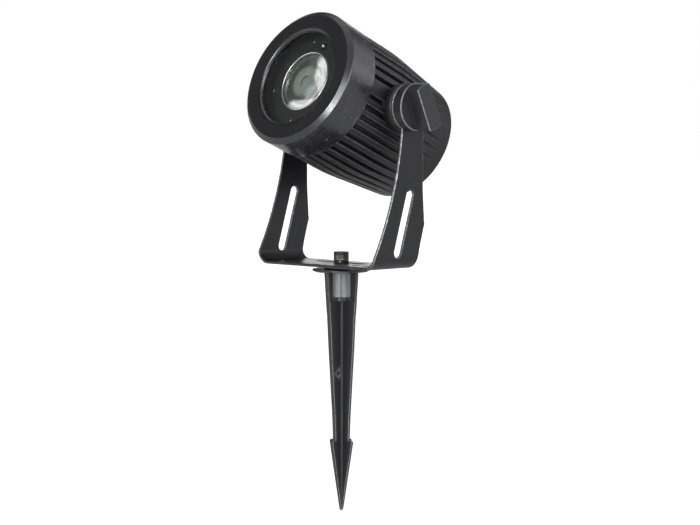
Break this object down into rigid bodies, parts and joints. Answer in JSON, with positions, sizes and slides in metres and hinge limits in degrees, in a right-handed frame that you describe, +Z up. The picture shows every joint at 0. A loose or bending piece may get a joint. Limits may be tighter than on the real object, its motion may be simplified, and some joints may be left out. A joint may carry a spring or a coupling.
{
  "type": "garden spotlight on a ground stake",
  "caption": "Round finned lamp head with a recessed glass front, tilting between the arms of a U bracket with grip knobs, bolted to a cross-section ground spike with a round flange.",
  "frame": {"origin": "on the stake axis at the top face of the stake's round flange", "axes": "+Z up along the stake, +X along the tilt axis, the lamp looks towards -Y at rest, tilted up"},
  "size_m": [0.1918, 0.1783, 0.4288],
  "materials": {
    "stake_plastic": "satin",
    "plated_steel": "satin",
    "washer_rubber": "matte",
    "bracket_paint": "satin",
    "cast_paint": "satin",
    "cover_glass": "gloss",
    "black_plate": "satin",
    "sensor_clear": "gloss",
    "bright_reflector": "polished",
    "lens_plastic": "gloss",
    "white_plastic": "satin",
    "white_board": "matte",
    "phosphor": "matte",
    "bare_aluminium": "satin",
    "green_board": "satin",
    "winding": "satin",
    "dark_sleeve": "gloss",
    "red_lead": "satin",
    "black_nylon": "satin",
    "cable_jacket": "satin",
    "knob_plastic": "satin"
  },
  "bodies": {
    "stake": {"ground_stake": "stake_plastic", "stake_sleeve": "plated_steel", "flange_washer": "washer_rubber", "spring_washer": "plated_steel", "base_bolt": "plated_steel"},
    "bracket": {"u_bracket": "bracket_paint"},
    "head": {"fin_body": "cast_paint", "front_bezel": "cast_paint", "front_glass": "cover_glass", "glass_gasket": "washer_rubber", "front_plate": "black_plate", "front_plate_screws": "plated_steel", "plate_standoffs": "plated_steel", "ir_receiver": "sensor_clear", "reflector": "bright_reflector", "lens": "lens_plastic", "led_holder": "white_plastic", "led_board": "white_board", "led_chips": "phosphor", "led_screws": "plated_steel", "heat_plate": "bare_aluminium", "heat_plate_screws": "plated_steel", "driver_board": "green_board", "driver_transformer": "winding", "driver_capacitors": "dark_sleeve", "driver_screws": "plated_steel", "led_leads": "red_lead", "cable_gland": "black_nylon", "gland_nut": "black_nylon", "gland_seal": "washer_rubber", "power_cable": "cable_jacket", "friction_disc_right": "knob_plastic", "friction_disc_left": "knob_plastic"},
    "right_knob": {"knob_right": "knob_plastic", "knob_stud_right": "plated_steel"},
    "left_knob": {"knob_left": "knob_plastic", "knob_stud_left": "plated_steel"}
  },
  "joints": [
    {"name": "bracket_swivel", "type": "hinge", "parent": "stake", "child": "bracket", "pos_m": [0, 0, 0], "axis": [0, 0, 1], "continuous": true},
    {"name": "head_tilt", "type": "hinge", "parent": "bracket", "child": "head", "pos_m": [0, 0.0089, 0.1384], "axis": [1, 0, 0], "range_deg": [-67, 113]},
    {"name": "right_knob_turn", "type": "hinge", "parent": "head", "child": "right_knob", "pos_m": [0, 0.0089, 0.1384], "axis": [1, 0, 0], "continuous": true},
    {"name": "left_knob_turn", "type": "hinge", "parent": "head", "child": "left_knob", "pos_m": [0, 0.0089, 0.1384], "axis": [1, 0, 0], "continuous": true}
  ]
}
